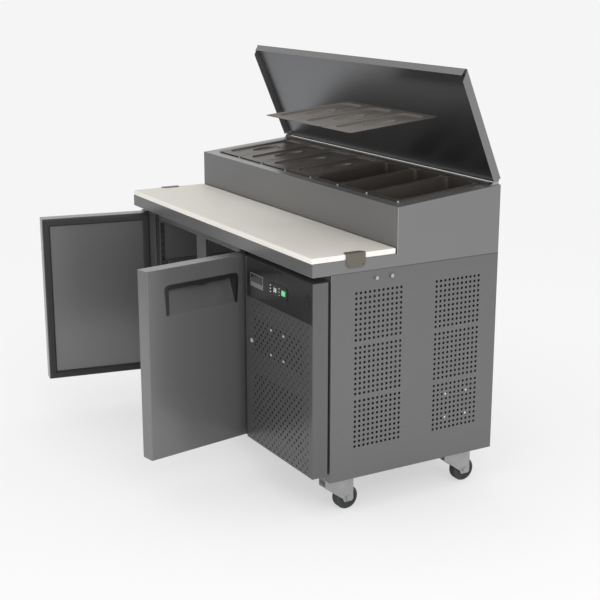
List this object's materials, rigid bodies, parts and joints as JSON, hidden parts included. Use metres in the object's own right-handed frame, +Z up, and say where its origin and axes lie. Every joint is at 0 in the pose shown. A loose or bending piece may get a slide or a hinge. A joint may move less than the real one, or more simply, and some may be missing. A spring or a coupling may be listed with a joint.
{
  "type": "sandwich prep table",
  "caption": "Refrigerated prep table: stainless two-door cabinet on swivel casters with a cutting board and lidded food pans under a hinged cover.",
  "frame": {"origin": "on the floor, midway between the sides and midway between the apron's face and the back", "axes": "+Z up, +X to the right as seen from the front, +Y from the front to the back"},
  "size_m": [1.418, 1.0744, 1.3836],
  "materials": {
    "satin_steel": "satin stainless sheet",
    "bright_steel": "bright stainless",
    "pan_steel": "satin stainless pan",
    "zinc_sheet": "zinc-coated sheet",
    "dark_panel": "dark satin sheet",
    "fascia_gloss": "dark gloss fascia",
    "switch_green": "lit green rocker",
    "liner_dark": "dark satin liner",
    "board_white": "white polyethylene",
    "clip_bronze": "bronze-grey sheet",
    "black_enamel": "black enamel",
    "coil_alloy": "mill finish",
    "fan_alloy": "mill finish",
    "copper_pipe": "drawn copper",
    "gasket_rubber": "soft magnetic gasket",
    "handle_black": "black trim",
    "shelf_wire": "plated wire",
    "caster_zinc": "zinc-plated steel",
    "wheel_grey": "grey-black tread"
  },
  "bodies": {
    "cabinet": {"cabinet_body": "satin_steel", "cabinet_liner": "satin_steel", "front_frame": "satin_steel", "base_chassis": "zinc_sheet", "side_panel": "satin_steel", "rear_panel": "satin_steel", "front_vent_panel": "dark_panel", "vent_backing": "zinc_sheet", "control_fascia": "fascia_gloss", "controller": "fascia_gloss", "worktop_collar": "satin_steel", "board_brackets": "clip_bronze", "pan_well": "satin_steel", "pan_frame": "bright_steel", "shelf_pilasters": "bright_steel", "compressor": "black_enamel", "condenser_coil": "coil_alloy", "fan_shroud": "zinc_sheet", "fan_motor": "black_enamel", "refrigerant_pipes": "copper_pipe", "hinge_brackets": "bright_steel", "caster_plates": "caster_zinc", "fasteners": "bright_steel"},
    "cover": {"cover_shell": "satin_steel", "cover_liner": "liner_dark"},
    "left_door": {"left_door_skin": "satin_steel", "left_door_liner": "satin_steel", "left_door_gasket": "gasket_rubber", "left_door_handle": "handle_black"},
    "left_shelf": {"shelf_left": "shelf_wire"},
    "right_door": {"right_door_skin": "satin_steel", "right_door_liner": "satin_steel", "right_door_gasket": "gasket_rubber", "right_door_handle": "handle_black"},
    "right_shelf": {"shelf_right": "shelf_wire"},
    "board": {"cutting_board": "board_white"},
    "pan_1_body": {"pan_1": "pan_steel"},
    "lid_1_body": {"pan_lid_1": "pan_steel"},
    "pan_2_body": {"pan_2": "pan_steel"},
    "lid_2_body": {"pan_lid_2": "pan_steel"},
    "pan_3_body": {"pan_3": "pan_steel"},
    "lid_3_body": {"pan_lid_3": "pan_steel"},
    "pan_4_body": {"pan_4": "pan_steel"},
    "lid_4_body": {"pan_lid_4": "pan_steel"},
    "pan_5_body": {"pan_5": "pan_steel"},
    "lid_5_body": {"pan_lid_5": "pan_steel"},
    "pan_6_body": {"pan_6": "pan_steel"},
    "lid_6_body": {"pan_lid_6": "pan_steel"},
    "pan_7_body": {"pan_7": "pan_steel"},
    "lid_7_body": {"pan_lid_7": "pan_steel"},
    "fork_front_left": {"caster_fork_front_left": "caster_zinc"},
    "wheel_front_left": {"caster_wheel_front_left": "wheel_grey"},
    "fork_front_right": {"caster_fork_front_right": "caster_zinc"},
    "wheel_front_right": {"caster_wheel_front_right": "wheel_grey"},
    "fork_rear_left": {"caster_fork_rear_left": "caster_zinc"},
    "wheel_rear_left": {"caster_wheel_rear_left": "wheel_grey"},
    "fork_rear_right": {"caster_fork_rear_right": "caster_zinc"},
    "wheel_rear_right": {"caster_wheel_rear_right": "wheel_grey"},
    "fan": {"fan_blade": "fan_alloy"},
    "rocker": {"power_switch": "switch_green"}
  },
  "joints": [
    {"name": "cover_hinge", "type": "hinge", "parent": "cabinet", "child": "cover", "pos_m": [0, 0.336, 1.028], "axis": [-1, 0, 0], "range_deg": [-72.45, 0]},
    {"name": "right_door_hinge", "type": "hinge", "parent": "cabinet", "child": "right_door", "pos_m": [0.1905, -0.319, 0.456], "axis": [0, 0, 1], "range_deg": [-99.9, 0]},
    {"name": "left_door_hinge", "type": "hinge", "parent": "cabinet", "child": "left_door", "pos_m": [-0.6325, -0.319, 0.456], "axis": [0, 0, -1], "range_deg": [-99.9, 0]},
    {"name": "board_slide", "type": "slide", "parent": "cabinet", "child": "board", "axis": [0, -1, 0], "range_m": [0, 0.12]},
    {"name": "left_shelf_slide", "type": "slide", "parent": "cabinet", "child": "left_shelf", "axis": [0, -1, 0], "range_m": [0, 0.25]},
    {"name": "right_shelf_slide", "type": "slide", "parent": "cabinet", "child": "right_shelf", "axis": [0, -1, 0], "range_m": [0, 0.25]},
    {"name": "fan_spin", "type": "hinge", "parent": "cabinet", "child": "fan", "pos_m": [0.45, -0.17, 0.283], "axis": [0, 1, 0], "continuous": true},
    {"name": "switch_rock", "type": "hinge", "parent": "cabinet", "child": "rocker", "pos_m": [0.506, -0.346, 0.7025], "axis": [1, 0, 0], "range_deg": [0, 8]},
    {"name": "pan_1_lift", "type": "slide", "parent": "cabinet", "child": "pan_1_body", "axis": [0, -0.0932, 0.9956], "range_m": [0, 0.06]},
    {"name": "lid_1_lift", "type": "slide", "parent": "pan_1_body", "child": "lid_1_body", "axis": [0, -0.0932, 0.9956], "range_m": [0, 0.02]},
    {"name": "pan_2_lift", "type": "slide", "parent": "cabinet", "child": "pan_2_body", "axis": [0, -0.0932, 0.9956], "range_m": [0, 0.06]},
    {"name": "lid_2_lift", "type": "slide", "parent": "pan_2_body", "child": "lid_2_body", "axis": [0, -0.0932, 0.9956], "range_m": [0, 0.02]},
    {"name": "pan_3_lift", "type": "slide", "parent": "cabinet", "child": "pan_3_body", "axis": [0, -0.0932, 0.9956], "range_m": [0, 0.06]},
    {"name": "lid_3_lift", "type": "slide", "parent": "pan_3_body", "child": "lid_3_body", "axis": [0, -0.0932, 0.9956], "range_m": [0, 0.02]},
    {"name": "pan_4_lift", "type": "slide", "parent": "cabinet", "child": "pan_4_body", "axis": [0, -0.0932, 0.9956], "range_m": [0, 0.06]},
    {"name": "lid_4_lift", "type": "slide", "parent": "pan_4_body", "child": "lid_4_body", "axis": [0, -0.0932, 0.9956], "range_m": [0, 0.02]},
    {"name": "pan_5_lift", "type": "slide", "parent": "cabinet", "child": "pan_5_body", "axis": [0, -0.0932, 0.9956], "range_m": [0, 0.06]},
    {"name": "lid_5_swing", "type": "hinge", "parent": "cover", "child": "lid_5_body", "pos_m": [0, 0.09529, 1.01754], "axis": [-1, 0, 0], "range_deg": [0, 72.45]},
    {"name": "pan_6_lift", "type": "slide", "parent": "cabinet", "child": "pan_6_body", "axis": [0, -0.0932, 0.9956], "range_m": [0, 0.06]},
    {"name": "lid_6_swing", "type": "hinge", "parent": "cover", "child": "lid_6_body", "pos_m": [0, 0.09529, 1.01754], "axis": [-1, 0, 0], "range_deg": [0, 72.45]},
    {"name": "pan_7_lift", "type": "slide", "parent": "cabinet", "child": "pan_7_body", "axis": [0, -0.0932, 0.9956], "range_m": [0, 0.06]},
    {"name": "lid_7_swing", "type": "hinge", "parent": "cover", "child": "lid_7_body", "pos_m": [0, 0.09529, 1.01754], "axis": [-1, 0, 0], "range_deg": [0, 72.45]},
    {"name": "swivel_front_left", "type": "hinge", "parent": "cabinet", "child": "fork_front_left", "pos_m": [-0.6315, -0.23, 0.112], "axis": [0, 0, 1], "continuous": true},
    {"name": "spin_front_left", "type": "hinge", "parent": "fork_front_left", "child": "wheel_front_left", "pos_m": [-0.6315, -0.197, 0.04], "axis": [1, 0, 0], "continuous": true},
    {"name": "swivel_front_right", "type": "hinge", "parent": "cabinet", "child": "fork_front_right", "pos_m": [0.6315, -0.23, 0.112], "axis": [0, 0, 1], "continuous": true},
    {"name": "spin_front_right", "type": "hinge", "parent": "fork_front_right", "child": "wheel_front_right", "pos_m": [0.6315, -0.197, 0.04], "axis": [1, 0, 0], "continuous": true},
    {"name": "swivel_rear_left", "type": "hinge", "parent": "cabinet", "child": "fork_rear_left", "pos_m": [-0.6315, 0.235, 0.112], "axis": [0, 0, 1], "continuous": true},
    {"name": "spin_rear_left", "type": "hinge", "parent": "fork_rear_left", "child": "wheel_rear_left", "pos_m": [-0.6315, 0.268, 0.04], "axis": [1, 0, 0], "continuous": true},
    {"name": "swivel_rear_right", "type": "hinge", "parent": "cabinet", "child": "fork_rear_right", "pos_m": [0.6315, 0.235, 0.112], "axis": [0, 0, 1], "continuous": true},
    {"name": "spin_rear_right", "type": "hinge", "parent": "fork_rear_right", "child": "wheel_rear_right", "pos_m": [0.6315, 0.268, 0.04], "axis": [1, 0, 0], "continuous": true}
  ],
  "couplings": [
    {"joint": "lid_5_swing", "follows": "cover_hinge", "ratio": -1},
    {"joint": "lid_6_swing", "follows": "cover_hinge", "ratio": -1},
    {"joint": "lid_7_swing", "follows": "cover_hinge", "ratio": -1}
  ]
}
